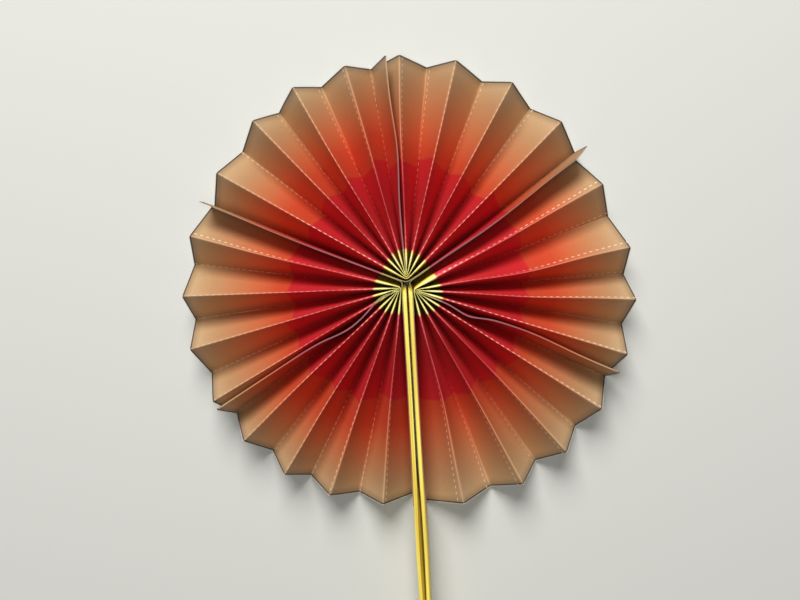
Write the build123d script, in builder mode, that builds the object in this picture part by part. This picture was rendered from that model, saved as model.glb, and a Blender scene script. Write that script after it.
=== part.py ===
from build123d import *
from math import cos, radians, sin, sqrt
import os

os.makedirs("parts", exist_ok=True)

# A paper fan rosette lying on its back folds, millimetres.
# Z points out of its front, the handle runs along -Y, and the origin is on the table at the hub.

# The card
sheet_length = 215.9        # a letter sheet, folded in half at the hub
panel_width = 27.94         # a tenth of its 279.4 mm width
card = 0.3                  # thickness
glue = 0.05                 # film between two glued faces

# The pleats
layer_pitch = 0.35          # between one pressed layer and the next at the fold in half
bend_slack = 0.35           # half the width of the tightest bend there
core_reach = 5.0            # out to here the pressed layers are one block
back_rise = 1.2             # a free back fold leaves the table by this much at the rim
deepest_corner = 0.85       # share of a panel that its pressed corner can take up
spans = 7                   # straight stretches along a fold
span_growth = 1.6           # how much faster they grow outwards

# The handle
stick_thickness = 1.9
stick_width = 18.0
stick_length = 200.0
stick_gap = 1.0             # between the two sticks
stick_setback = 0.4         # behind the front edges of the card
stick_drop = 0.8            # from the hub down to the ends of the sticks

# Directions of the seams, degrees from +X
right_seam_angle = 34.3
left_seam_angle = 155.2
handle_angle = -90

# Each sheet, going anticlockwise. Its middle back fold carries the glued pair of first
# panels, whose raw edges lean over by edge_lean. The free folds between the middle and a
# seam are spread evenly, and then drift by a few degrees, because they were opened by hand.
# The stack is where the pressed layers begin, measured from the bend of the outer panel.
top_layout = dict(
    middle_angle=96.5, edge_lean=-4,
    first_drift=(0.4, 1.2, 0.9, 0.6, 0.8, 0.6, -0.2),
    second_drift=(-0.8, -0.2, -1.0, -1.3, -2.2, -1.5, -0.4),
    stack=(0.1, 1.4),
)
left_layout = dict(
    middle_angle=214, edge_lean=-3.5,
    first_drift=(0.5, 0.6, 1.7, 0.9, 1.0, 1.7, 1.3),
    second_drift=(0, 0.5, 0, -1.0, -1.0, -1.0, -1.0),
    stack=(-0.3, -3.0),
)
right_layout = dict(
    middle_angle=-27.5, edge_lean=2.5,
    first_drift=(2.2, 2.4, 2.6, 0.8, 0.9, -0.4, -0.2),
    second_drift=(-0.2, -0.5, -1.2, -2.4, -3.1, -1.4, -0.6),
    stack=(0.3, -5.0),
)

fold_reach = sheet_length / 2
first_station = 0.8 * core_reach
handle_side = stick_gap / 2 + stick_thickness
up = Vector(0, 0, 1)


def heading(angle):
    return Vector(cos(radians(angle)), sin(radians(angle)), 0)


def across(angle):
    # anticlockwise of a fold, seen from the front
    return heading(angle + 90)


# Layout of a sheet seen from above. A seam is a point on its glued face and its direction.

def outer_bend(start_seam, end_seam, depth):
    # the outer panel turns here, at this depth inside the glued faces of both its seams
    point_a = start_seam[0] + across(start_seam[1]) * depth
    point_b = end_seam[0] - across(end_seam[1]) * depth
    way_a, way_b = heading(start_seam[1]), heading(end_seam[1])
    gap = point_b - point_a
    return point_a + way_a * (gap.cross(way_b).Z / way_a.cross(way_b).Z)


def spread(start_angle, end_angle, drift):
    step = (end_angle - start_angle) / (len(drift) + 1)
    return [start_angle + step * (rank + 1) + extra for rank, extra in enumerate(drift)]


def fold_lines(layout, start_seam, end_seam):
    # every raw edge and fold in order: its start, its direction and whether it is in front
    start, middle, end = start_seam[1], layout["middle_angle"], end_seam[1]
    bend = outer_bend(start_seam, end_seam, (glue + card) / 2)
    stack = bend + Vector(*layout["stack"], 0)

    def beside_stack(angle):
        return bend + heading(angle) * (stack - bend).dot(heading(angle))

    def free_fold(angle, layer, side):
        point = stack + heading(middle) * layer * layer_pitch + across(middle) * side * bend_slack
        return point, angle, layer % 2 == 1

    first = spread(start, middle, layout["first_drift"])
    second = spread(middle, end, layout["second_drift"])
    lines = [(beside_stack(start), start, True), (beside_stack(start), start, False)]
    lines += [free_fold(angle, i + 1, -1) for i, angle in enumerate(first)]
    lines += [free_fold(middle, len(first) + 1, 0)]
    lines += [free_fold(angle, len(second) - i, 1) for i, angle in enumerate(second)]
    lines += [(beside_stack(end), end, False), (beside_stack(end), end, True)]
    return lines


def tip_heights(lines):
    # panels on a seam stand upright, and a free fold sinks as its pleat opens
    tips = [start + heading(angle) * fold_reach for start, angle, _ in lines]
    last = len(lines) - 1
    heights = [back_rise] * len(lines)
    for i in range(2, last - 1):
        if lines[i][2]:
            chord = ((tips[i] - tips[i - 1]).length + (tips[i + 1] - tips[i]).length) / 2
            heights[i] += sqrt(panel_width**2 - chord**2)
    heights[0] = heights[last] = panel_width
    heights[1] = heights[last // 2] = heights[last - 1] = 0
    return heights


# One section across a sheet, at the same reach along every fold. For each fold it has the
# points on the front of the card and the points on its back: two on the outside of a
# crease, and one on the inside where the two panels part.

def corner(before, point, after, sideways):
    lean_before = (point - before).dot(sideways) / abs(before.Z - point.Z)
    lean_after = (after - point).dot(sideways) / abs(after.Z - point.Z)
    height = min(abs(before.Z - point.Z), abs(after.Z - point.Z))
    depth = min(card / (lean_before + lean_after), deepest_corner * height)
    inward = up * (-1 if point.Z > before.Z else 1)
    inner = point + sideways * ((lean_after - lean_before) * depth / 2) + inward * depth
    return (point - sideways * (card / 2), point + sideways * (card / 2)), (inner,)


def middle_corner(before, point, after, edge, sideways):
    # two first panels, glued together, stand on the middle back fold and lean
    lean = (edge - point).dot(sideways) / edge.Z

    def parting(other, side):
        opening = abs((other - point).dot(sideways) / other.Z - lean)
        depth = min(1.5 * card / opening, deepest_corner * other.Z)
        return point + sideways * (lean * depth + side * card) + up * depth

    front = (
        parting(before, -1), edge - sideways * card,
        edge + sideways * card, parting(after, 1),
    )
    return front, (point - sideways * (card / 2), point + sideways * (card / 2))


def section(lines, heights, edge_lean, reach):
    points = []
    for (start, angle, in_front), height in zip(lines, heights):
        at_hub = panel_width if in_front else 0
        z = at_hub + (height - at_hub) * reach / fold_reach
        points.append(start + heading(angle) * reach + up * z)
    last = len(points) - 1
    sides = [across(angle) for _, angle, _ in lines]
    start, angle, _ = lines[last // 2]
    edge = start + heading(angle + edge_lean) * reach + up * panel_width
    pairs = [((points[0] + sides[0] * (card / 2),), (points[0] - sides[0] * (card / 2),))]
    for i in range(1, last):
        before, point, after = points[i - 1:i + 2]
        if i == last // 2:
            pairs.append(middle_corner(before, point, after, edge, sides[i]))
            continue
        outside, inside = corner(before, point, after, sides[i])
        pairs.append((outside, inside) if lines[i][2] else (inside, outside))
    pairs.append(((points[-1] - sides[-1] * (card / 2),), (points[-1] + sides[-1] * (card / 2),)))
    return pairs


# The skin of a sheet: plane triangles between neighbouring sections, with the same
# diagonal on the front and the back of each panel, so that the card keeps its thickness.

def triangle(*corners):
    return Face(Wire.make_polygon(corners, close=True))


def cut_edge(pairs):
    # the card's edge at one end of the pleats
    faces = []
    for (front, back), (next_front, next_back) in zip(pairs, pairs[1:]):
        faces.append(triangle(front[-1], back[-1], next_back[0]))
        faces.append(triangle(front[-1], next_back[0], next_front[0]))
    for front, back in pairs[1:-1]:
        ring = front + back[::-1]
        faces += [triangle(ring[0], a, b) for a, b in zip(ring[1:], ring[2:])]
    return faces


def side_points(pairs, side):
    return [point for pair in pairs for point in pair[side]]


def strips(near, far):
    faces = []
    for a, b, c, d in zip(near, near[1:], far, far[1:]):
        faces += [triangle(a, b, d), triangle(a, d, c)]
    return faces


def pleated_card(lines, edge_lean):
    heights = tip_heights(lines)
    reaches = [
        first_station + (fold_reach - first_station) * (i / spans)**span_growth
        for i in range(spans + 1)
    ]
    sections = [section(lines, heights, edge_lean, reach) for reach in reaches]
    faces = cut_edge(sections[0]) + cut_edge(sections[-1])
    for near, far in zip(sections, sections[1:]):
        for side in (0, 1):
            faces += strips(side_points(near, side), side_points(far, side))
        for end in (0, -1):
            faces += strips([pair[0] for pair in near[end]], [pair[0] for pair in far[end]])
    return Solid(Shell(faces))


def folded_sheet(layout, start_seam, end_seam):
    lines = fold_lines(layout, start_seam, end_seam)
    rim = [start + heading(angle) * core_reach for start, angle, _ in lines[1:-1]]
    rim[0] -= across(start_seam[1]) * (card / 2)
    rim[-1] += across(end_seam[1]) * (card / 2)
    with BuildPart() as sheet:
        with BuildSketch():
            with BuildLine():
                Polyline(outer_bend(start_seam, end_seam, glue / 2), *rim, close=True)
            make_face()
        extrude(amount=panel_width)
        add(pleated_card(lines, layout["edge_lean"]))
    return sheet


# The three sheets, glued back to back at two seams and to the sticks at the third
hub = Vector(0, 0, 0)
right_seam = (hub, right_seam_angle)
left_seam = (hub, left_seam_angle)
left_handle_seam = (hub - Vector(handle_side + glue / 2, 0, 0), handle_angle + 360)
right_handle_seam = (hub + Vector(handle_side + glue / 2, 0, 0), handle_angle)

sheet_top = folded_sheet(top_layout, right_seam, left_seam)
sheet_top.part.label = "sheet_top"

sheet_left = folded_sheet(left_layout, left_seam, left_handle_seam)
sheet_left.part.label = "sheet_left"

sheet_right = folded_sheet(right_layout, right_handle_seam, right_seam)
sheet_right.part.label = "sheet_right"


# Two flat craft sticks with round ends, on edge between the last panels
def stick_plane(x):
    return Plane(
        origin=(x, -stick_drop - stick_length / 2, panel_width - stick_setback - stick_width / 2),
        x_dir=(0, 1, 0),
        z_dir=(1, 0, 0),
    )


with BuildPart() as stick_left:
    with BuildSketch(stick_plane(-handle_side)):
        SlotOverall(stick_length, stick_width)
    extrude(amount=stick_thickness)
stick_left.part.label = "stick_left"

with BuildPart() as stick_right:
    with BuildSketch(stick_plane(stick_gap / 2)):
        SlotOverall(stick_length, stick_width)
    extrude(amount=stick_thickness)
stick_right.part.label = "stick_right"

for piece in (sheet_top, sheet_left, sheet_right, stick_left, stick_right):
    export_step(piece.part, f"parts/{piece.part.label}.step")
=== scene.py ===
import math

import bpy
import bmesh
from mathutils import Matrix, Vector


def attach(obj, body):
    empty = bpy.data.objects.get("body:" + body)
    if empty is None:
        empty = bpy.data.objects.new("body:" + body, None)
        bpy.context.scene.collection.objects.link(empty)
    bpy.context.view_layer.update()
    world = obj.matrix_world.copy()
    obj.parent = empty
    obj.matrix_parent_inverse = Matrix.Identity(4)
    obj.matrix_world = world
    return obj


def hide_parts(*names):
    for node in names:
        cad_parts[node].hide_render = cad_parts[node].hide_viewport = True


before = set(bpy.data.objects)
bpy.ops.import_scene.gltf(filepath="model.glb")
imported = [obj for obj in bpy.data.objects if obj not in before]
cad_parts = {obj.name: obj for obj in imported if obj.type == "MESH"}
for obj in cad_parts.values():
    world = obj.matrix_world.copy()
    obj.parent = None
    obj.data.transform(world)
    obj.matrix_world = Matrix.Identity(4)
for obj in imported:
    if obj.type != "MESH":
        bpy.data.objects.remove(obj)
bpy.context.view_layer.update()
mm = 0.001


def heading(degrees):
    return Vector((math.cos(math.radians(degrees)), math.sin(math.radians(degrees)), 0))


def smoothStep(low, high, value):
    share = min(max((value - low) / (high - low), 0), 1)
    return share * share * (3 - 2 * share)


# Node helpers, for geometry trees and shader trees alike

def feed(tree, node, inputs):
    for key, value in dict(inputs).items():
        if isinstance(value, bpy.types.NodeSocket):
            tree.links.new(value, node.inputs[key])
        else:
            node.inputs[key].default_value = value


def addNode(tree, kind, inputs=(), **settings):
    made = tree.nodes.new(kind)
    for key, value in settings.items():
        setattr(made, key, value)
    feed(tree, made, inputs)
    return made


def calc(tree, operation, *values, clamp=False):
    made = addNode(tree, "ShaderNodeMath", enumerate(values), operation=operation, use_clamp=clamp)
    return made.outputs[0]


def product(tree, *values):
    result = values[0]
    for value in values[1:]:
        result = calc(tree, "MULTIPLY", result, value)
    return result


def total(tree, *values):
    result = values[0]
    for value in values[1:]:
        result = calc(tree, "ADD", result, value)
    return result


def vectorCalc(tree, operation, *values):
    made = addNode(tree, "ShaderNodeVectorMath", enumerate(values), operation=operation)
    return made.outputs["Value" if operation in ("LENGTH", "DOT_PRODUCT") else "Vector"]


def scaled(tree, vector, factor):
    made = addNode(tree, "ShaderNodeVectorMath", {0: vector, "Scale": factor}, operation="SCALE")
    return made.outputs["Vector"]


def fade(tree, value, low, high, lowResult=0.0, highResult=1.0, smooth=False):
    made = addNode(
        tree, "ShaderNodeMapRange",
        {
            "Value": value, "From Min": low, "From Max": high,
            "To Min": lowResult, "To Max": highResult,
        },
        interpolation_type="SMOOTHSTEP" if smooth else "LINEAR",
    )
    return made.outputs["Result"]


def useGroup(tree, kind, group, inputs):
    made = tree.nodes.new(kind)
    made.node_tree = group
    feed(tree, made, inputs)
    return made.outputs


def newGroup(name, kind, inputs, outputs):
    group = bpy.data.node_groups.new(name, kind)
    for label, socketType, *value in inputs:
        socket = group.interface.new_socket(label, in_out="INPUT", socket_type=socketType)
        if value:
            socket.default_value = value[0]
    for label, socketType in outputs:
        group.interface.new_socket(label, in_out="OUTPUT", socket_type=socketType)
    given = group.nodes.new("NodeGroupInput").outputs
    result = group.nodes.new("NodeGroupOutput").inputs
    return group, given, result


# The folded sheets of card

card = {
    "panels": 10,
    "panelWidth": 27.94 * mm,
    "halfLength": 107.95 * mm,
    "thickness": 0.3 * mm,
    "glue": 0.05 * mm,
    "edgeDrop": 0.06 * mm,
    "layerPitch": 0.35 * mm,
    "bendSlack": 0.35 * mm,
    "bendRadius": 0.6 * mm,
    "creaseRadius": 1.0 * mm,
    "backRise": 1.2 * mm,
    "columns": 12,
    "rows": 128,
    "rowGrowth": 1.5,
    "crowding": 0.88,
    "ripple": 0.25 * mm,
    "rippleSize": 45 * mm,
    "rollWidth": 8 * mm,
    "rollLength": 42 * mm,
    "puff": 0.25 * mm,
    "puffWidth": 5 * mm,
    "puffStart": (3 * mm, 9 * mm),
    "puffEnd": (10 * mm, 32 * mm),
    "cornerFrom": 0.92,
    "waveFrom": 0.06,
    "sharpAngle": 60,
}
handle = {"gap": 1.0 * mm, "thickness": 1.9 * mm}
handleFace = handle["gap"] / 2 + handle["thickness"] + card["glue"] / 2
hub = Vector((0, 0, 0))
seams = {
    "upperRight": (hub, 34.3),
    "upperLeft": (hub, 155.2),
    "lowerLeft": (Vector((-handleFace, 0, 0)), 270),
    "lowerRight": (Vector((handleFace, 0, 0)), -90),
}

# Anticlockwise, with directions in degrees. Free folds are spread evenly and then drift.
# The stack is measured from the bend of the outer panel. A half's folds are numbered from
# its raw middle edge, 0, out to the seam, 10. Flare, corner and roll push them sideways, and
# stretch is how far a tip stands out or in, as each sheet was not folded in half quite square.
# Folds wave sideways too, and edgeWaves are those of the raw middle edges: each wave is its
# amount, its place as a share of the fold, and its spread. The printed dashes miss a fold by
# dashShift at the rim, and brightDashes is how strong they are in the red.
sheets = {
    "sheet_top": {
        "seams": ("upperRight", "upperLeft"), "middle": 96.5, "edgeLean": -4,
        "stack": (0.1 * mm, 1.4 * mm), "seed": 1.0,
        "firstDrift": (0.4, 1.2, 0.9, 0.6, 0.8, 0.6, -0.2),
        "secondDrift": (-0.8, -0.2, -1.0, -1.3, -2.2, -1.5, -0.4),
        "edgeWaves": ((-1.75 * mm, 0.57, 0.19),),
        "left": {
            "waves": {
                2: ((-0.4 * mm, 0.7, 0.3),), 4: ((0.6 * mm, 0.65, 0.3),),
                10: ((0.9 * mm, 0.5, 0.35),),
            },
            "flare": {0: -0.7 * mm},
            "stretch": {0: -0.8 * mm, 2: -0.8 * mm, 3: -0.7 * mm, 4: 0.5 * mm, 6: 0.5 * mm},
            "dashShift": {
                1: 1.9 * mm, 2: 2.4 * mm, 3: 4.6 * mm, 5: 3.8 * mm, 7: 1.3 * mm, 9: 1.6 * mm,
            },
            "brightDashes": {1: 0.8, 3: 0.5, 8: 1},
        },
        "right": {
            "waves": {2: ((0.9 * mm, 0.7, 0.3),), 10: ((-2.6 * mm, 0.48, 0.32),)},
            "corner": {10: 1.9 * mm},
            "flare": {0: -0.7 * mm, 9: 0.6 * mm, 10: -2.4 * mm},
            "stretch": {
                0: -0.8 * mm, 2: 0.2 * mm, 4: 0.9 * mm, 6: 0.9 * mm, 8: 0.5 * mm, 9: 0.6 * mm,
                10: 1.3 * mm,
            },
            "dashShift": {2: 2.8 * mm, 3: 3.6 * mm, 5: 2.4 * mm, 7: 2.7 * mm, 9: 5.5 * mm},
            "brightDashes": {1: 0.8, 3: 0.8, 8: 0.55},
        },
    },
    "sheet_left": {
        "seams": ("upperLeft", "lowerLeft"), "middle": 214, "edgeLean": -3.8,
        "stack": (-0.3 * mm, -3.0 * mm), "seed": 2.0,
        "firstDrift": (0.5, 0.6, 1.7, 0.9, 1.0, 1.7, 1.3),
        "secondDrift": (0, 0.5, 0, -1.0, -1.0, -1.0, -1.0),
        "edgeWaves": ((2.7 * mm, 0.28, 0.12), (-1.6 * mm, 0.08, 0.07)),
        "left": {
            "waves": {
                2: ((-0.6 * mm, 0.6, 0.3),), 4: ((-0.9 * mm, 0.6, 0.3),),
                6: ((-0.5 * mm, 0.6, 0.3),), 8: ((-0.8 * mm, 0.6, 0.3),),
            },
            "flare": {9: -0.35 * mm, 10: -0.35 * mm},
            "stretch": {
                0: -1.3 * mm, 1: -1.5 * mm, 2: -0.8 * mm, 3: -0.9 * mm, 6: 0.5 * mm, 7: 0.8 * mm,
            },
            "dashShift": {
                1: -1.6 * mm, 3: 2.4 * mm, 5: 1.3 * mm, 6: -1.4 * mm, 7: 1.3 * mm, 8: 2.4 * mm,
            },
            "brightDashes": {2: 0.6, 7: 0.5},
        },
        "right": {
            "waves": {8: ((0.8 * mm, 0.6, 0.3),), 10: ((0.9 * mm, 0.5, 0.35),)},
            "stretch": {0: -1.3 * mm, 1: -1.5 * mm, 2: -0.9 * mm, 3: -0.6 * mm, 7: 0.4 * mm},
            "dashShift": {3: 1.0 * mm, 5: 0.7 * mm, 7: 1.3 * mm, 8: 2.7 * mm},
        },
    },
    "sheet_right": {
        "seams": ("lowerRight", "upperRight"), "middle": -27.5, "edgeLean": 2.5,
        "stack": (0.3 * mm, -5.0 * mm), "seed": 3.0,
        "firstDrift": (2.2, 2.4, 2.6, 0.8, 0.9, -0.4, -0.2),
        "secondDrift": (-0.2, -0.5, -1.2, -2.4, -3.1, -1.4, -0.6),
        "edgeWaves": ((-2.2 * mm, 0.255, 0.075), (1.9 * mm, 0.55, 0.22)),
        "left": {
            "waves": {
                4: ((-1.0 * mm, 0.5, 0.25),), 6: ((-2.2 * mm, 0.5, 0.25),),
                8: ((-0.6 * mm, 0.45, 0.25),), 10: ((-2.6 * mm, 0.48, 0.32),),
            },
            "corner": {10: 1.9 * mm},
            "flare": {10: -2.6 * mm}, "roll": {8: 1.2 * mm},
            "stretch": {
                0: -1.6 * mm, 1: -1.5 * mm, 3: -0.8 * mm, 5: -0.5 * mm, 7: -1.4 * mm, 8: -1.2 * mm,
                9: -1.2 * mm,
            },
            "dashShift": {
                2: 1.0 * mm, 4: 1.6 * mm, 5: 3.2 * mm, 6: 4.2 * mm, 7: 3.3 * mm, 8: 3.0 * mm,
            },
            "brightDashes": {2: 1, 8: 0.6},
        },
        "right": {
            "waves": {
                4: ((0.7 * mm, 0.6, 0.3),), 6: ((0.5 * mm, 0.6, 0.3),),
                8: ((1.7 * mm, 0.52, 0.28),),
            },
            "flare": {9: 0.35 * mm, 10: 0.35 * mm},
            "stretch": {
                0: -1.6 * mm, 1: -1.5 * mm, 4: 0.8 * mm, 6: 1.6 * mm, 7: 1.5 * mm, 8: 1.3 * mm,
                9: 2.8 * mm, 10: 2.8 * mm,
            },
            "dashShift": {
                1: -1.6 * mm, 2: -1.0 * mm, 3: 2.4 * mm, 4: 3.0 * mm, 5: 3.8 * mm, 6: 4.2 * mm,
                7: 4.0 * mm, 8: 3.8 * mm,
            },
            "brightDashes": {2: 1},
        },
    },
}


def crossing(pointA, wayA, pointB, wayB):
    gap = pointB - pointA
    turn = wayA.x * wayB.y - wayA.y * wayB.x
    return pointA + wayA * ((gap.x * wayB.y - gap.y * wayB.x) / turn)


def spread(start, end, drift):
    step = (end - start) / (len(drift) + 1)
    return [start + step * (rank + 1) + extra for rank, extra in enumerate(drift)]


def foldStarts(sheet):
    # for each fold: where its two halves start, and the directions they run in
    (startPoint, startWay), (endPoint, endWay) = (seams[key] for key in sheet["seams"])
    inset = (card["glue"] + card["thickness"]) / 2
    bend = crossing(
        startPoint + heading(startWay + 90) * inset, heading(startWay),
        endPoint - heading(endWay + 90) * inset, heading(endWay),
    )
    stack = bend + Vector((*sheet["stack"], 0))
    middle = sheet["middle"]
    first = spread(startWay, middle, sheet["firstDrift"])[::-1]
    second = spread(middle, endWay, sheet["secondDrift"])
    edge = middle + sheet["edgeLean"]
    ways = zip((edge, middle, *first, startWay, startWay), (edge, middle, *second, endWay, endWay))
    for k, (rightWay, leftWay) in enumerate(ways):
        rightWay, leftWay = heading(rightWay), heading(leftWay)
        layer = card["panels"] - 1 - max(k, 1)
        left = right = stack + heading(middle) * card["layerPitch"] * layer
        slack = card["bendSlack"]
        if k < 2:
            slack = inset
        if k > card["panels"] - 2:
            left = bend + leftWay * (stack - bend).dot(leftWay)
            right = bend + rightWay * (stack - bend).dot(rightWay)
            slack = 0
        shift = (left - right) / 2 + heading(middle + 90) * slack
        yield (left + right) / 2, shift, leftWay, rightWay


def foldHeights(folds):
    # for each fold: its height at the hub and at its left and right tips
    half = card["thickness"] / 2
    tips = [
        [
            start + shift * sign + ways[sign < 0] * card["halfLength"]
            for start, shift, *ways in folds
        ]
        for sign in (1, -1)
    ]
    top = card["panelWidth"] - card["edgeDrop"]
    yield Vector((top, top, top))
    for k in range(1, card["panels"]):
        if k in (1, card["panels"] - 1):
            yield Vector((half, half, half))
        elif k % 2:
            rise = card["backRise"] + half
            yield Vector((half, rise, rise))
        else:
            rises = []
            for tip in tips:
                chord = ((tip[k] - tip[k - 1]).length + (tip[k + 1] - tip[k]).length) / 2
                rises.append(card["backRise"] - half + math.sqrt(card["panelWidth"]**2 - chord**2))
            yield Vector((card["panelWidth"] - half, *rises))
    yield Vector((top, top, top))


def foldGuide(name, sheet):
    # one point for each fold, from the raw edge of the middle pair out to the seam
    folds = list(foldStarts(sheet))
    starts, shifts, lefts, rights = zip(*folds)
    values = {"shift": shifts, "leftWay": lefts, "rightWay": rights, "heights": foldHeights(folds)}
    for label in ("flare", "corner", "stretch", "roll", "dashShift", "brightDashes"):
        ends = [sheet[half].get(label, {}) for half in ("left", "right")]
        values[label] = [
            Vector((ends[0].get(k, 0), ends[1].get(k, 0), 0)) for k in range(len(folds))
        ]
    calm = (0, 0, 1)
    for half in ("left", "right"):
        waves = {0: sheet["edgeWaves"], **sheet[half]["waves"]}
        for rank in range(2):
            values[half + "Wave" + str(rank)] = [
                (*waves.get(k, ()), calm, calm)[rank] for k in range(len(folds))
            ]
    mesh = bpy.data.meshes.new(name)
    mesh.from_pydata(starts, [], [])
    for label, vectors in values.items():
        attribute = mesh.attributes.new(label, "FLOAT_VECTOR", "POINT")
        attribute.data.foreach_set("vector", [number for vector in vectors for number in vector])
    return mesh


def foldPointGroup():
    # where a fold is at a signed reach: left half above zero, right half below
    group, given, result = newGroup(
        "foldPoint", "GeometryNodeTree",
        [("Guide", "NodeSocketGeometry"), ("Fold", "NodeSocketInt"), ("Reach", "NodeSocketFloat"),
         ("Half Length", "NodeSocketFloat"), ("Bend Radius", "NodeSocketFloat")],
        [("Point", "NodeSocketVector"), ("Outward", "NodeSocketVector"),
         ("Roll", "NodeSocketFloat"), ("Dash Shift", "NodeSocketFloat"),
         ("Bright Dashes", "NodeSocketFloat")],
    )
    reach = given["Reach"]

    def sampled(label=None):
        if label:
            source = addNode(
                group, "GeometryNodeInputNamedAttribute", {"Name": label}, data_type="FLOAT_VECTOR"
            )
            field = source.outputs["Attribute"]
        else:
            field = group.nodes.new("GeometryNodeInputPosition").outputs[0]
        sample = addNode(
            group, "GeometryNodeSampleIndex",
            {"Geometry": given["Guide"], "Value": field, "Index": given["Fold"]},
            data_type="FLOAT_VECTOR", domain="POINT",
        )
        return sample.outputs["Value"]

    isLeft = calc(group, "GREATER_THAN", reach, 0.0)

    def halfValue(label, first=0):
        parts = addNode(group, "ShaderNodeSeparateXYZ", {0: sampled(label)}).outputs
        left, right = parts[first], parts[first + 1]
        chosen = calc(group, "MULTIPLY_ADD", calc(group, "SUBTRACT", left, right), isLeft, right)
        return chosen, parts[0]

    rounded = calc(group, "SQRT", total(
        group, product(group, reach, reach),
        product(group, given["Bend Radius"], given["Bend Radius"]),
    ))
    side = calc(group, "DIVIDE", reach, rounded)
    left, right = sampled("leftWay"), sampled("rightWay")
    mean = scaled(group, vectorCalc(group, "ADD", left, right), product(group, rounded, 0.5))
    parting = scaled(
        group, vectorCalc(group, "SUBTRACT", left, right), product(group, reach, 0.5)
    )
    point = vectorCalc(group, "ADD", sampled(), scaled(group, sampled("shift"), side))
    point = vectorCalc(group, "ADD", point, vectorCalc(group, "ADD", mean, parting))

    share = calc(group, "DIVIDE", calc(group, "ABSOLUTE", reach), given["Half Length"])
    tip, base = halfValue("heights", 1)
    height = calc(group, "MULTIPLY_ADD", calc(group, "SUBTRACT", tip, base), share, base)

    # a flare grows towards the rim, a corner curls near its end, and a wave fades both ways
    tipward = fade(group, share, card["cornerFrom"], 1.0)
    pushed = total(
        group, product(group, halfValue("flare")[0], share, share, share),
        product(group, halfValue("corner")[0], tipward, tipward),
    )
    for rank in range(2):
        leftWave, rightWave = sampled(f"leftWave{rank}"), sampled(f"rightWave{rank}")
        wave = vectorCalc(group, "SUBTRACT", leftWave, rightWave)
        wave = vectorCalc(group, "ADD", scaled(group, wave, isLeft), rightWave)
        amount, place, width = addNode(group, "ShaderNodeSeparateXYZ", {0: wave}).outputs
        away = calc(group, "DIVIDE", calc(group, "SUBTRACT", share, place), width)
        bump = calc(group, "EXPONENT", product(group, away, away, -1))
        fromHub = fade(group, share, 0.0, card["waveFrom"])
        pushed = total(group, pushed, product(group, amount, bump, fromHub))
    way = vectorCalc(group, "ADD", scaled(group, left, isLeft),
                     scaled(group, right, calc(group, "SUBTRACT", 1, isLeft)))
    anticlockwise = vectorCalc(group, "CROSS_PRODUCT", (0, 0, 1), way)
    point = vectorCalc(group, "ADD", point, scaled(group, anticlockwise, pushed))
    stretched = product(group, halfValue("stretch")[0], share)
    point = vectorCalc(group, "ADD", point, scaled(group, way, stretched))
    lift = addNode(group, "ShaderNodeCombineXYZ", {"Z": height}).outputs[0]
    group.links.new(vectorCalc(group, "ADD", point, lift), result["Point"])
    group.links.new(scaled(group, anticlockwise, calc(group, "SIGN", reach)), result["Outward"])
    group.links.new(halfValue("roll")[0], result["Roll"])
    group.links.new(product(group, halfValue("dashShift")[0], share), result["Dash Shift"])
    group.links.new(halfValue("brightDashes")[0], result["Bright Dashes"])
    return group


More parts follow.
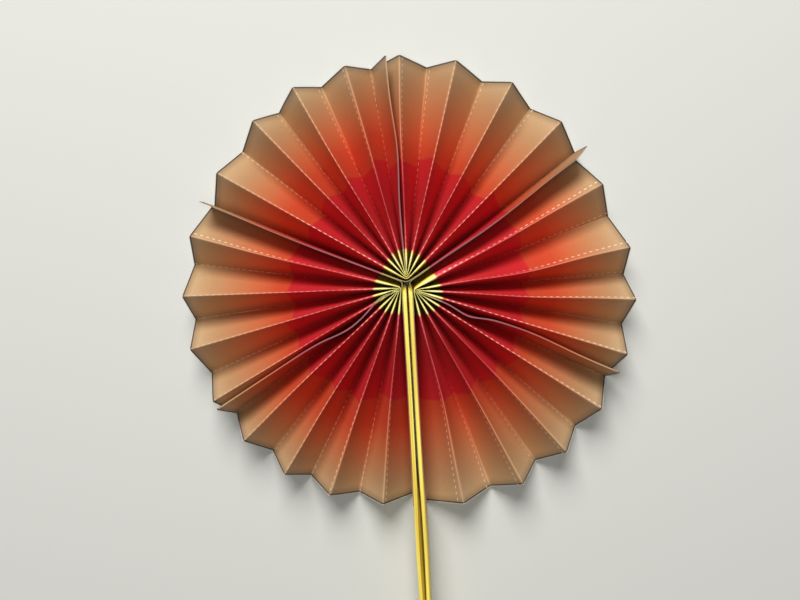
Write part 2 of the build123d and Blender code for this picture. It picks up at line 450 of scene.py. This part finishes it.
def pleatedCardTree():
    # folds a flat grid of card along the guide's lines, with rounded creases
    tree, given, result = newGroup(
        "pleatedCard", "GeometryNodeTree",
        [("Guide", "NodeSocketGeometry"), ("Panels", "NodeSocketInt"), ("Columns", "NodeSocketInt"),
         ("Rows", "NodeSocketInt"), ("Row Growth", "NodeSocketFloat"),
         ("Panel Width", "NodeSocketFloat"),
         ("Half Length", "NodeSocketFloat"), ("Bend Radius", "NodeSocketFloat"),
         ("Crease Radius", "NodeSocketFloat"), ("Roll Width", "NodeSocketFloat"),
         ("Roll Length", "NodeSocketFloat"), ("Puff", "NodeSocketFloat"),
         ("Puff Width", "NodeSocketFloat"), ("Ripple", "NodeSocketFloat"),
         ("Ripple Size", "NodeSocketFloat"), ("Seed", "NodeSocketFloat"),
         ("Card", "NodeSocketMaterial")],
        [("Sheet", "NodeSocketGeometry")],
    )
    foldPoint = foldPointGroup()
    panels = given["Panels"]
    grid = addNode(tree, "GeometryNodeMeshGrid", {
        "Size X": 1.0, "Size Y": 1.0, "Vertices Y": given["Rows"],
        "Vertices X": total(tree, product(tree, panels, given["Columns"]), 1),
    })
    position = tree.nodes.new("GeometryNodeInputPosition").outputs[0]
    place = addNode(tree, "ShaderNodeSeparateXYZ", {0: position})

    # across the sheet the columns crowd together at the creases
    count = product(tree, total(tree, place.outputs["X"], 0.5), panels)
    lastPanel = calc(tree, "SUBTRACT", panels, 1)
    panel = calc(tree, "MINIMUM", calc(tree, "FLOOR", total(tree, count, 0.0001)), lastPanel)
    share = calc(tree, "SUBTRACT", count, panel)
    wave = calc(tree, "SINE", product(tree, share, math.tau))
    share = calc(tree, "SUBTRACT", share, product(tree, wave, card["crowding"] / math.tau))

    # along it the rows crowd together at the hub
    along = product(tree, place.outputs["Y"], -2.0)
    grown = calc(tree, "POWER", calc(tree, "ABSOLUTE", along), given["Row Growth"])
    reach = product(tree, calc(tree, "SIGN", along), grown, given["Half Length"])

    beyondHalf = calc(tree, "GREATER_THAN", share, 0.5)
    near = total(tree, panel, beyondHalf)
    other = calc(tree, "SUBTRACT", total(tree, panel, 1), beyondHalf)
    beyond = calc(tree, "SUBTRACT", product(tree, near, 2), other)
    beyond = calc(tree, "MINIMUM", calc(tree, "MAXIMUM", beyond, 0), panels)

    def pointOf(fold):
        return useGroup(tree, "GeometryNodeGroup", foldPoint, {
            "Guide": given["Guide"], "Fold": fold, "Reach": reach,
            "Half Length": given["Half Length"], "Bend Radius": given["Bend Radius"],
        })

    nearFold = pointOf(near)
    nearPoint = nearFold["Point"]
    nearShare = calc(tree, "MINIMUM", share, calc(tree, "SUBTRACT", 1, share))
    toOther = vectorCalc(tree, "SUBTRACT", pointOf(other)["Point"], nearPoint)
    toBeyond = vectorCalc(tree, "SUBTRACT", pointOf(beyond)["Point"], nearPoint)
    flatPlace = vectorCalc(tree, "ADD", nearPoint, scaled(tree, toOther, nearShare))
    bothWays = vectorCalc(
        tree, "ADD", vectorCalc(tree, "NORMALIZE", toOther), vectorCalc(tree, "NORMALIZE", toBeyond)
    )
    radius = given["Crease Radius"]
    distance = product(tree, nearShare, given["Panel Width"])
    short = calc(tree, "MAXIMUM", calc(tree, "SUBTRACT", radius, distance), 0)
    inward = calc(tree, "DIVIDE", product(tree, short, short), product(tree, radius, 4))
    notFirst = calc(tree, "GREATER_THAN", near, 0.5)
    notLast = calc(tree, "LESS_THAN", near, calc(tree, "SUBTRACT", panels, 0.5))
    inward = product(tree, inward, notFirst, notLast)
    folded = vectorCalc(tree, "ADD", flatPlace, scaled(tree, bothWays, inward))

    # a rolled ridge bulges outward just below its crease; 4, 6.75 and 2.6 bring peaks to 1
    acrossRoll = calc(tree, "DIVIDE", distance, given["Roll Width"], clamp=True)
    acrossRoll = product(tree, acrossRoll, calc(tree, "SUBTRACT", 1, acrossRoll), 4)
    alongRoll = calc(
        tree, "DIVIDE", calc(tree, "ABSOLUTE", reach), given["Roll Length"], clamp=True
    )
    alongRest = calc(tree, "SUBTRACT", 1, alongRoll)
    isOuter = calc(tree, "SUBTRACT", 1, beyondHalf)
    bulge = product(
        tree, nearFold["Roll"], acrossRoll, alongRoll, alongRest, alongRest, 6.75, isOuter
    )

    # and every ridge is puffed up a little near the hub, where the card resists folding
    acrossPuff = calc(tree, "DIVIDE", distance, given["Puff Width"], clamp=True)
    acrossPuff = product(
        tree, calc(tree, "SQRT", acrossPuff), calc(tree, "SUBTRACT", 1, acrossPuff), 2.6
    )
    hubward = fade(
        tree, calc(tree, "ABSOLUTE", reach), *card["puffEnd"], 1.0, 0.0, smooth=True
    )
    fromHub = fade(tree, calc(tree, "ABSOLUTE", reach), *card["puffStart"], smooth=True)
    isRidge = calc(tree, "LESS_THAN", calc(tree, "FRACT", product(tree, near, 0.5)), 0.25)
    side = calc(tree, "SUBTRACT", 1, product(tree, beyondHalf, 2))
    puff = product(
        tree, given["Puff"], acrossPuff, hubward, fromHub, isRidge, notFirst, notLast, side
    )
    sideways = scaled(tree, nearFold["Outward"], total(tree, bulge, puff))
    folded = vectorCalc(tree, "ADD", folded, sideways)

    stored = grid.outputs["Mesh"]
    fields = {
        "across": total(tree, panel, share), "along": reach,
        "dashShift": nearFold["Dash Shift"], "brightDashes": nearFold["Bright Dashes"],
        "sheetSeed": given["Seed"],
    }
    for label, field in fields.items():
        stored = addNode(
            tree, "GeometryNodeStoreNamedAttribute",
            {"Geometry": stored, "Name": label, "Value": field},
            data_type="FLOAT", domain="POINT",
        ).outputs["Geometry"]
    placed = addNode(
        tree, "GeometryNodeSetPosition", {"Geometry": stored, "Position": folded}
    ).outputs[0]

    # free panels ripple a little, glued ones stay flat
    def named(label):
        made = addNode(
            tree, "GeometryNodeInputNamedAttribute", {"Name": label}, data_type="FLOAT"
        )
        return made.outputs["Attribute"]

    noise = addNode(
        tree, "ShaderNodeTexNoise",
        {"W": given["Seed"], "Scale": calc(tree, "DIVIDE", 1, given["Ripple Size"]), "Detail": 1.0},
        noise_dimensions="4D",
    ).outputs[0]
    across = named("across")
    swell = calc(tree, "ABSOLUTE", calc(tree, "SINE", product(tree, across, math.pi)))
    isFree = product(
        tree, calc(tree, "GREATER_THAN", across, 1), calc(tree, "LESS_THAN", across, lastPanel)
    )
    outward = calc(tree, "DIVIDE", calc(tree, "ABSOLUTE", named("along")), given["Half Length"])
    amount = product(
        tree, calc(tree, "SUBTRACT", noise, 0.5), given["Ripple"], 4, swell, isFree, outward
    )
    normal = tree.nodes.new("GeometryNodeInputNormal").outputs[0]
    offset = scaled(tree, normal, amount)
    rippled = addNode(
        tree, "GeometryNodeSetPosition", {"Geometry": placed, "Offset": offset}
    ).outputs[0]
    smooth = addNode(tree, "GeometryNodeSetShadeSmooth", {0: rippled}).outputs[0]
    real = addNode(tree, "GeometryNodeRealizeInstances", {0: smooth}).outputs[0]
    finished = addNode(
        tree, "GeometryNodeSetMaterial", {"Geometry": real, "Material": given["Card"]}
    ).outputs[0]
    tree.links.new(finished, result["Sheet"])
    return tree


def setInputs(modifier, tree, values):
    for item in tree.interface.items_tree:
        if item.in_out == "INPUT" and item.name in values:
            modifier[item.identifier] = values[item.name]


def plainMesh(thing):
    bpy.context.view_layer.update()
    evaluated = thing.evaluated_get(bpy.context.evaluated_depsgraph_get())
    mesh = bpy.data.meshes.new_from_object(evaluated)
    thing.modifiers.clear()
    thing.data = mesh
    return mesh


def makeSheet(name, sheet, tree, materials):
    thing = bpy.data.objects.new(name + "_card", foldGuide(name, sheet))
    bpy.context.scene.collection.objects.link(thing)
    pleats = thing.modifiers.new("pleats", "NODES")
    pleats.node_group = tree
    setInputs(pleats, tree, {
        "Panels": card["panels"], "Columns": card["columns"], "Rows": card["rows"] + 1,
        "Row Growth": card["rowGrowth"], "Panel Width": card["panelWidth"],
        "Half Length": card["halfLength"], "Bend Radius": card["bendRadius"],
        "Crease Radius": card["creaseRadius"], "Roll Width": card["rollWidth"],
        "Roll Length": card["rollLength"], "Puff": card["puff"],
        "Puff Width": card["puffWidth"], "Ripple": card["ripple"],
        "Ripple Size": card["rippleSize"], "Seed": sheet["seed"], "Card": materials[0],
    })
    mesh = plainMesh(thing)
    mesh.materials.clear()
    for material in materials:
        mesh.materials.append(material)
    mesh.polygons.foreach_set("material_index", [0] * len(mesh.polygons))
    wall = thing.modifiers.new("thickness", "SOLIDIFY")
    wall.thickness = card["thickness"]
    wall.offset = 0
    wall.use_quality_normals = True
    wall.material_offset = 1
    wall.material_offset_rim = 2
    mesh = plainMesh(thing)
    mesh.set_sharp_from_angle(angle=math.radians(card["sharpAngle"]))
    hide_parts(name)
    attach(thing, "root")
    print("sheet", name, "has", len(mesh.polygons), "faces")


# The two craft sticks of the handle, on edge, upright at the hub and leaning at the free end

stick = {
    "length": 200 * mm, "width": 18 * mm, "drop": 0.8 * mm, "setback": 0.4 * mm,
    "round": 0.32 * mm, "endSteps": 14, "lengthSteps": 44, "cornerSteps": 3,
    "leans": {"stick_left": 7.0, "stick_right": 2.6}, "leanFrom": 88 * mm, "leanTo": 118 * mm,
    "bow": 0.55 * mm, "bowAt": 132 * mm, "bowSpread": 32 * mm, "sharpAngle": 50,
}


def stickSection(halfHeight):
    # a rounded rectangle, as (sideways, upward) from the middle of the stick
    radius = min(stick["round"], halfHeight * 0.9)
    inset = Vector((handle["thickness"] / 2 - radius, halfHeight - radius))
    points = []
    for quarter, (signX, signZ) in enumerate(((1, 1), (-1, 1), (-1, -1), (1, -1))):
        for step in range(stick["cornerSteps"] + 1):
            turn = math.radians(90 * (quarter + step / stick["cornerSteps"]))
            points.append((
                signX * inset.x + radius * math.cos(turn),
                signZ * inset.y + radius * math.sin(turn),
            ))
    return points


def stickStations():
    # distance from the end at the hub, and half the height there: round ends, straight between
    radius = stick["width"] / 2
    steps = stick["endSteps"]
    turns = [math.radians(90 * (i + 0.35) / (steps + 0.35)) for i in range(steps + 1)]
    ends = [(radius * (1 - math.cos(turn)), radius * math.sin(turn)) for turn in turns]
    straight = stick["length"] - 2 * radius
    middle = [
        (radius + straight * i / stick["lengthSteps"], radius)
        for i in range(1, stick["lengthSteps"])
    ]
    farEnds = [(stick["length"] - distance, height) for distance, height in ends[::-1]]
    return ends + middle + farEnds


def stickPoint(sideways, upward, distance, side, fullLean):
    out = stick["drop"] + distance
    lean = math.radians(fullLean * smoothStep(stick["leanFrom"], stick["leanTo"], out))
    bow = stick["bow"] * math.exp(-((out - stick["bowAt"]) / stick["bowSpread"])**2)
    middle = side * ((handle["gap"] + handle["thickness"]) / 2 + bow)
    below = stick["width"] / 2 - upward
    top = card["panelWidth"] - stick["setback"]
    return Vector((
        middle + sideways * math.cos(lean) + below * math.sin(lean), -out,
        top - below * math.cos(lean) + (sideways - handle["thickness"] / 2) * math.sin(lean),
    ))


def makeStick(name, side, material):
    mesh = bpy.data.meshes.new(name)
    build = bmesh.new()
    rings = []
    for distance, halfHeight in stickStations():
        rings.append([
            build.verts.new(stickPoint(x, z, distance, side, stick["leans"][name]))
            for x, z in stickSection(halfHeight)
        ])
    for near, far in zip(rings, rings[1:]):
        for i in range(len(near)):
            build.faces.new((near[i - 1], near[i], far[i], far[i - 1]))
    build.faces.new(rings[0][::-1])
    build.faces.new(rings[-1])
    bmesh.ops.recalc_face_normals(build, faces=build.faces)
    for face in build.faces:
        face.smooth = True
    build.to_mesh(mesh)
    build.free()
    mesh.set_sharp_from_angle(angle=math.radians(stick["sharpAngle"]))
    mesh.materials.append(material)
    thing = bpy.data.objects.new(name + "_wood", mesh)
    bpy.context.scene.collection.objects.link(thing)
    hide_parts(name)
    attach(thing, "root")
    print("stick", name, "has", len(mesh.polygons), "faces")


# Finishes

def display(red, green, blue):
    # a colour by its screen values, as linear light
    values = [value / 255 for value in (red, green, blue)]
    return (*(v / 12.92 if v <= 0.04045 else ((v + 0.055) / 1.055)**2.4 for v in values), 1)


printed = {
    # the second yellow is painted shade for the valleys at the hub, darker than the ink on the
    # ridges
    "yellow": display(252, 236, 84), "paintedShadeYellow": display(188, 160, 30),
    # the red from the yellow out to the orange is print, drawn brighter towards the hub as painted
    # light against the shade deep in the pleats
    "inner": (
        (14 * mm, display(224, 64, 70)), (22 * mm, display(221, 60, 66)),
        (32 * mm, display(209, 47, 51)), (43 * mm, display(206, 42, 48)),
        (54 * mm, display(206, 42, 47)),
    ),
    "outer": (
        (57 * mm, display(209, 75, 46)), (66 * mm, display(210, 81, 48)),
        (76 * mm, display(208, 107, 66)), (86 * mm, display(200, 128, 84)),
        (97 * mm, display(193, 147, 104)), (106 * mm, display(200, 164, 121)),
    ),
    # the pair after yellowBlur is where the painted shade in the yellow valleys fades in, as a
    # share of a panel from its ridge
    "yellowReach": 12.5 * mm, "yellowBlur": 0.25 * mm, "paintedValleyShadeSpan": (0.05, 0.22),
    "redReach": 57 * mm, "redStep": 7 * mm, "redBlur": 0.5 * mm,
    "offCentre": 4.6 * mm, "offCentreFade": (68 * mm, 104 * mm),
    "rimFrom": 103 * mm, "rimShade": 0.62,
    # the dark line along the rim is partly a printed border and partly painted shadow; the white
    # line at the very rim is a painted highlight
    "rimBorderAndShadow": display(50, 38, 30), "rimBorderAndShadowWidth": 0.7 * mm, "rimBorderAndShadowBlur": 0.15 * mm,
    "paintedRimHighlight": display(236, 232, 224), "paintedRimHighlightWidth": 0.18 * mm, "paintedRimHighlightBlur": 0.06 * mm,
    "dash": display(255, 230, 204), "dashPitch": 3.15 * mm, "dashShare": 0.46,
    "dashBlur": 0.05, "dashWidth": 0.75 * mm, "dashStep": 0.37, "dashStart": (13 * mm, 16 * mm),
    "dashInRed": 0.2, "brightInRed": 0.7, "redToTan": (50 * mm, 70 * mm),
    "foldedInTan": 0.25, "missedInTan": 0.65, "missedBy": (0.3 * mm, 0.8 * mm),
    # the crease bands show ink lost on the folds, and at the hub they are drawn wider up the walls
    # as a painted highlight
    "creaseWidth": 0.8 * mm, "hubWearAndHighlightWidth": 3.2 * mm, "wornPatches": 160,
    "wearAndHighlight": (
        (12 * mm, display(255, 252, 172)), (13.5 * mm, display(212, 98, 104)),
        (50 * mm, display(224, 94, 92)), (75 * mm, display(240, 196, 160)),
    ),
    "wearAndHighlightShare": (
        (12 * mm, 0.95), (14 * mm, 0.65), (45 * mm, 0.55), (75 * mm, 0.2), (106 * mm, 0.12),
    ),
    "roughness": 0.52, "specular": 0.35,
}
paper = {
    "mottle": 0.09, "mottleScale": 900, "fibreScale": 5200, "fibreHeight": 0.05 * mm,
    "bump": 0.12, "back": display(232, 230, 224), "backMottle": 0.03, "backRoughness": 0.8,
}
cutEdge = {
    "color": display(126, 108, 112), "mottle": 0.12, "bump": 0.2, "roughness": 0.85,
    "inkFade": (45 * mm, 80 * mm), "nearHub": 0.72, "atRim": 0.1, "atSeam": 0.3,
}
wood = {
    "light": display(255, 238, 106), "dark": display(230, 194, 60), "pore": display(184, 134, 34),
    "grain": (900, 14, 900), "pores": (2600, 60, 2600), "poreStrength": 0.5,
    "bump": 0.25, "grainHeight": 0.1 * mm, "roughness": 0.5,
}


def newMaterial(name):
    material = bpy.data.materials.new(name)
    material.use_nodes = True
    return material, material.node_tree, material.node_tree.nodes["Principled BSDF"]


def colorMix(tree, factor, low, high, blend="MIX"):
    made = addNode(
        tree, "ShaderNodeMix", {0: factor, 6: low, 7: high}, data_type="RGBA", blend_type=blend
    )
    return made.outputs[2]


def attributeValue(tree, name):
    return addNode(tree, "ShaderNodeAttribute", attribute_name=name).outputs["Fac"]


def noiseValue(tree, vector, scale, detail=2.0):
    made = addNode(tree, "ShaderNodeTexNoise", {"Vector": vector, "Scale": scale, "Detail": detail})
    return made.outputs[0]


def reachRamp(tree, reach, stops):
    # a colour by the distance from the sheet's mid-length
    share = calc(tree, "DIVIDE", reach, card["halfLength"])
    made = addNode(tree, "ShaderNodeValToRGB", {"Fac": share})
    while len(made.color_ramp.elements) < len(stops):
        made.color_ramp.elements.new(0.5)
    for element, (place, color) in zip(made.color_ramp.elements, stops):
        element.position = place / card["halfLength"]
        element.color = color
    return made.outputs["Color"]


def paperGrainGroup():
    # the tone and the fine relief of uncoated card
    group, given, result = newGroup(
        "paperGrain", "ShaderNodeTree",
        [("Mottle", "NodeSocketFloat"), ("Bump", "NodeSocketFloat")],
        [("Tone", "NodeSocketFloat"), ("Normal", "NodeSocketVector")],
    )
    place = group.nodes.new("ShaderNodeTexCoord").outputs["Object"]
    soft = calc(group, "SUBTRACT", noiseValue(group, place, paper["mottleScale"], 4.0), 0.5)
    tone = calc(group, "MULTIPLY_ADD", soft, product(group, given["Mottle"], 2), 1)
    fibre = noiseValue(group, place, paper["fibreScale"], 3.0)
    bump = addNode(group, "ShaderNodeBump", {
        "Strength": given["Bump"], "Distance": paper["fibreHeight"], "Height": fibre,
    })
    group.links.new(tone, result["Tone"])
    group.links.new(bump.outputs["Normal"], result["Normal"])
    return group


def printedPatternGroup():
    # bands of ink by the distance from the sheet's mid-length, shifted a little on each panel, with
    # painted shade in the yellow valleys at the hub, painted light on the red near the hub, and
    # painted shadow and highlight at the rim
    group, given, result = newGroup(
        "printWithPaintedLight", "ShaderNodeTree",
        [("Across", "NodeSocketFloat"), ("Along", "NodeSocketFloat"), ("Seed", "NodeSocketFloat")],
        [("Color", "NodeSocketColor")],
    )
    reach = calc(group, "ABSOLUTE", given["Along"])
    panel = calc(group, "FLOOR", given["Across"])
    side = calc(group, "SIGN", given["Along"])
    label = total(group, panel, product(group, side, 20), product(group, given["Seed"], 50))
    noise = addNode(group, "ShaderNodeTexWhiteNoise", {"W": label}, noise_dimensions="1D")
    random = calc(group, "SUBTRACT", noise.outputs["Value"], 0.5)
    shifted = total(group, reach, product(group, random, printed["redStep"]))

    # the outer bands are drawn off the middle of the sheet, less so near its ends
    offCentre = product(
        group, side, fade(group, reach, *printed["offCentreFade"], printed["offCentre"], 0.0)
    )
    # the red near the hub is print, drawn brighter towards the hub as painted light against the
    # shade deep in the pleats
    inner = reachRamp(group, reach, printed["inner"])
    outer = reachRamp(group, calc(group, "SUBTRACT", shifted, offCentre), printed["outer"])
    blur = printed["redBlur"]
    edge = fade(group, shifted, printed["redReach"] - blur, printed["redReach"] + blur, smooth=True)
    color = colorMix(group, edge, inner, outer)
    blur = printed["yellowBlur"]
    pastYellow = fade(group, reach, printed["yellowReach"] - blur, printed["yellowReach"] + blur)
    # away from the ridges the yellow is painted shade, drawn darker in the valleys at the hub
    fromCrease = calc(group, "PINGPONG", given["Across"], 1.0)
    paintedValleyShade = fade(group, fromCrease, *printed["paintedValleyShadeSpan"], smooth=True)
    yellow = colorMix(group, paintedValleyShade, printed["yellow"], printed["paintedShadeYellow"])
    color = colorMix(group, pastYellow, yellow, color)

    # the last millimetres to the rim are drawn darker, with a thin dark line that is partly a
    # printed border and partly painted shadow, and a thin white line at the very edge that is a
    # painted highlight
    shade = fade(
        group, reach, printed["rimFrom"], card["halfLength"], 1.0, printed["rimShade"], smooth=True
    )
    color = colorMix(group, 1.0, color, shade, "MULTIPLY")
    fromRim = calc(group, "SUBTRACT", card["halfLength"], reach)
    paintedRimHighlight, line = printed["paintedRimHighlightWidth"], printed["paintedRimHighlightWidth"] + printed["rimBorderAndShadowWidth"]
    isBorderAndShadow = fade(group, fromRim, line, line + printed["rimBorderAndShadowBlur"], 0.85, 0.0)
    color = colorMix(group, isBorderAndShadow, color, printed["rimBorderAndShadow"])
    isPaintedRimHighlight = fade(group, fromRim, paintedRimHighlight, paintedRimHighlight + printed["paintedRimHighlightBlur"], 0.9, 0.0)
    color = colorMix(group, isPaintedRimHighlight, color, printed["paintedRimHighlight"])
    group.links.new(color, result["Color"])
    return group


def patternColor(tree, group):
    across, along, seed = (attributeValue(tree, name) for name in ("across", "along", "sheetSeed"))
    outputs = useGroup(
        tree, "ShaderNodeGroup", group, {"Across": across, "Along": along, "Seed": seed}
    )
    return outputs["Color"], across, along


def cardPrint(pattern, grain):
    material, tree, shader = newMaterial("cardPrint")
    color, across, along = patternColor(tree, pattern)
    reach = calc(tree, "ABSOLUTE", along)
    place = tree.nodes.new("ShaderNodeTexCoord").outputs["Object"]
    fold = calc(tree, "ROUND", across)
    fromFold = product(tree, calc(tree, "SUBTRACT", across, fold), card["panelWidth"])
    isFold = product(
        tree, calc(tree, "GREATER_THAN", fold, 0.5),
        calc(tree, "LESS_THAN", fold, card["panels"] - 0.5),
    )
    isEven = calc(tree, "LESS_THAN", calc(tree, "FRACT", product(tree, fold, 0.5)), 0.25)
    isRidge = product(tree, isFold, isEven)

    # ink lost along the ridges, and most of it on the tight folds at the hub, where the pale band
    # is also drawn wider up the walls as a painted highlight
    width = fade(
        tree, reach, printed["yellowReach"], printed["yellowReach"] + 1 * mm,
        printed["hubWearAndHighlightWidth"], printed["creaseWidth"],
    )
    fromCrease = calc(tree, "DIVIDE", calc(tree, "ABSOLUTE", fromFold), width)
    rubbedAndHighlight = fade(tree, fromCrease, 0.3, 0.6, 1.0, 0.0)
    patchy = fade(
        tree, noiseValue(tree, place, printed["wornPatches"], 3.0), 0.35, 0.65, 0.7, 1.2
    )
    shares = [(stop, (share, share, share, 1)) for stop, share in printed["wearAndHighlightShare"]]
    amount = reachRamp(tree, reach, shares)
    rubbedAndHighlight = product(tree, rubbedAndHighlight, isRidge, patchy, amount)
    color = colorMix(tree, rubbedAndHighlight, color, reachRamp(tree, reach, printed["wearAndHighlight"]))

    # printed dashes to fold along, some of them missed by the fold
    fromLine = calc(tree, "SUBTRACT", fromFold, attributeValue(tree, "dashShift"))
    fromLine = calc(tree, "ABSOLUTE", fromLine)
    half = printed["dashWidth"] / 2
    line = fade(tree, fromLine, half * 0.7, half * 1.3, 1.0, 0.0)
    beats = calc(tree, "DIVIDE", reach, printed["dashPitch"])
    beat = calc(tree, "FRACT", total(tree, beats, product(tree, fold, printed["dashStep"])))
    fromBeat = calc(tree, "ABSOLUTE", calc(tree, "SUBTRACT", beat, 0.5))
    halfDash, blur = printed["dashShare"] / 2, printed["dashBlur"]
    dash = fade(tree, fromBeat, halfDash - blur, halfDash + blur, 1.0, 0.0)
    inRed = fade(
        tree, attributeValue(tree, "brightDashes"), 0.0, 1.0,
        printed["dashInRed"], printed["brightInRed"],
    )
    missed = calc(tree, "ABSOLUTE", attributeValue(tree, "dashShift"))
    inTan = fade(
        tree, missed, *printed["missedBy"], printed["foldedInTan"], printed["missedInTan"]
    )
    strength = fade(tree, reach, *printed["redToTan"], inRed, inTan)
    strength = product(tree, strength, fade(tree, reach, *printed["dashStart"]))
    color = colorMix(tree, product(tree, line, dash, isFold, strength), color, printed["dash"])

    surface = useGroup(
        tree, "ShaderNodeGroup", grain, {"Mottle": paper["mottle"], "Bump": paper["bump"]}
    )
    color = colorMix(tree, 1.0, color, surface["Tone"], "MULTIPLY")
    tree.links.new(color, shader.inputs["Base Color"])
    tree.links.new(surface["Normal"], shader.inputs["Normal"])
    shader.inputs["Roughness"].default_value = printed["roughness"]
    shader.inputs["Specular IOR Level"].default_value = printed["specular"]
    return material


def cardBack(grain):
    material, tree, shader = newMaterial("cardBack")
    surface = useGroup(
        tree, "ShaderNodeGroup", grain, {"Mottle": paper["backMottle"], "Bump": paper["bump"]}
    )
    color = colorMix(tree, 1.0, paper["back"], surface["Tone"], "MULTIPLY")
    tree.links.new(color, shader.inputs["Base Color"])
    tree.links.new(surface["Normal"], shader.inputs["Normal"])
    shader.inputs["Roughness"].default_value = paper["backRoughness"]
    return material


def cardEdge(pattern, grain):
    # the trimmed edge is white card with ink drawn over it, and cleaner at the seams
    material, tree, shader = newMaterial("cardEdge")
    color, across, along = patternColor(tree, pattern)
    reach = calc(tree, "ABSOLUTE", along)
    outside = fade(tree, across, 4.0, 6.0, cutEdge["atRim"], cutEdge["atSeam"])
    bare = fade(tree, reach, *cutEdge["inkFade"], cutEdge["nearHub"], outside)
    color = colorMix(tree, bare, color, cutEdge["color"])
    surface = useGroup(
        tree, "ShaderNodeGroup", grain, {"Mottle": cutEdge["mottle"], "Bump": cutEdge["bump"]}
    )
    color = colorMix(tree, 1.0, color, surface["Tone"], "MULTIPLY")
    tree.links.new(color, shader.inputs["Base Color"])
    shader.inputs["Roughness"].default_value = cutEdge["roughness"]
    return material


def dyedWood():
    material, tree, shader = newMaterial("dyedWood")
    place = tree.nodes.new("ShaderNodeTexCoord").outputs["Object"]
    streaks = noiseValue(tree, vectorCalc(tree, "MULTIPLY", place, wood["grain"]), 1.0, 4.0)
    darker = fade(tree, streaks, 0.35, 0.68, smooth=True)
    color = colorMix(tree, darker, wood["light"], wood["dark"])
    fine = noiseValue(tree, vectorCalc(tree, "MULTIPLY", place, wood["pores"]), 1.0, 2.0)
    pores = fade(tree, fine, 0.66, 0.74, 0.0, wood["poreStrength"])
    color = colorMix(tree, pores, color, wood["pore"])
    bump = addNode(tree, "ShaderNodeBump", {
        "Strength": wood["bump"], "Distance": wood["grainHeight"], "Height": streaks,
    })
    tree.links.new(color, shader.inputs["Base Color"])
    tree.links.new(bump.outputs["Normal"], shader.inputs["Normal"])
    shader.inputs["Roughness"].default_value = wood["roughness"]
    return material


# The stage

studio = {
    "floorSize": 4.0, "floorGap": 0.2 * mm, "floor": display(216, 216, 209),
    "floorRoughness": 0.9, "fill": 0.035,
    "lamps": {
        "key": {"angle": 97, "height": 49, "distance": 1.6, "size": 0.95, "power": 28.2},
        "overhead": {"angle": -90, "height": 86, "distance": 1.2, "size": 0.5, "power": 3.7},
    },
}
view = {
    "pixelFocal": 920.5, "imageWidth": 800, "sensor": 36, "distance": 479.2 * mm, "aim": 14 * mm,
    "right": -3.66 * mm, "up": -8.65 * mm, "yaw": 1.24, "pitch": -1.34, "roll": 3.24,
}


def makeStage():
    bpy.ops.mesh.primitive_plane_add(size=studio["floorSize"], location=(0, 0, -studio["floorGap"]))
    floor = bpy.context.object
    floor.name = "floor"
    material, _, shader = newMaterial("floorPaint")
    shader.inputs["Base Color"].default_value = studio["floor"]
    shader.inputs["Roughness"].default_value = studio["floorRoughness"]
    floor.data.materials.append(material)


def makeCamera():
    roll = math.radians(view["roll"])
    right = Vector((math.cos(roll), -math.sin(roll), 0))
    up = Vector((math.sin(roll), math.cos(roll), 0))
    back = Vector((0, 0, 1))
    yaw = Matrix.Rotation(math.radians(view["yaw"]), 3, up)
    turn = yaw @ Matrix.Rotation(math.radians(view["pitch"]), 3, right)
    right, up, back = turn @ right, turn @ up, turn @ back
    data = bpy.data.cameras.new("camera")
    data.sensor_width = view["sensor"]
    data.lens = view["pixelFocal"] * data.sensor_width / view["imageWidth"]
    camera = bpy.data.objects.new("camera", data)
    place = Vector((0, 0, view["aim"])) + back * (view["distance"] - view["aim"])
    place += right * view["right"] + up * view["up"]
    axes = Matrix((right, up, back)).transposed().to_4x4()
    camera.matrix_world = Matrix.Translation(place) @ axes
    bpy.context.scene.collection.objects.link(camera)
    bpy.context.scene.camera = camera


def makeLights():
    world = bpy.data.worlds.new("studio")
    bpy.context.scene.world = world
    world.use_nodes = True
    background = world.node_tree.nodes["Background"]
    background.inputs["Color"].default_value = (1, 1, 1, 1)
    background.inputs["Strength"].default_value = studio["fill"]
    for name, lamp in studio["lamps"].items():
        data = bpy.data.lights.new(name, "AREA")
        data.shape = "DISK"
        data.size = lamp["size"]
        data.energy = lamp["power"]
        height = math.radians(lamp["height"])
        toLamp = heading(lamp["angle"]) * math.cos(height) + Vector((0, 0, math.sin(height)))
        turned = toLamp.to_track_quat("Z", "Y").to_matrix().to_4x4()
        light = bpy.data.objects.new(name, data)
        light.matrix_world = Matrix.Translation(toLamp * lamp["distance"]) @ turned
        bpy.context.scene.collection.objects.link(light)


makeStage()
makeCamera()
makeLights()
print("stage, camera and lights are up")
paperGrain = paperGrainGroup()
printWithPaintedLight = printedPatternGroup()
cardMaterials = [
    cardPrint(printWithPaintedLight, paperGrain), cardBack(paperGrain),
    cardEdge(printWithPaintedLight, paperGrain),
]
cardTree = pleatedCardTree()
for name, sheet in sheets.items():
    makeSheet(name, sheet, cardTree, cardMaterials)
stickMaterial = dyedWood()
makeStick("stick_left", -1, stickMaterial)
makeStick("stick_right", 1, stickMaterial)
bpy.context.scene.view_settings.view_transform = "Standard"
bpy.context.view_layer.update()
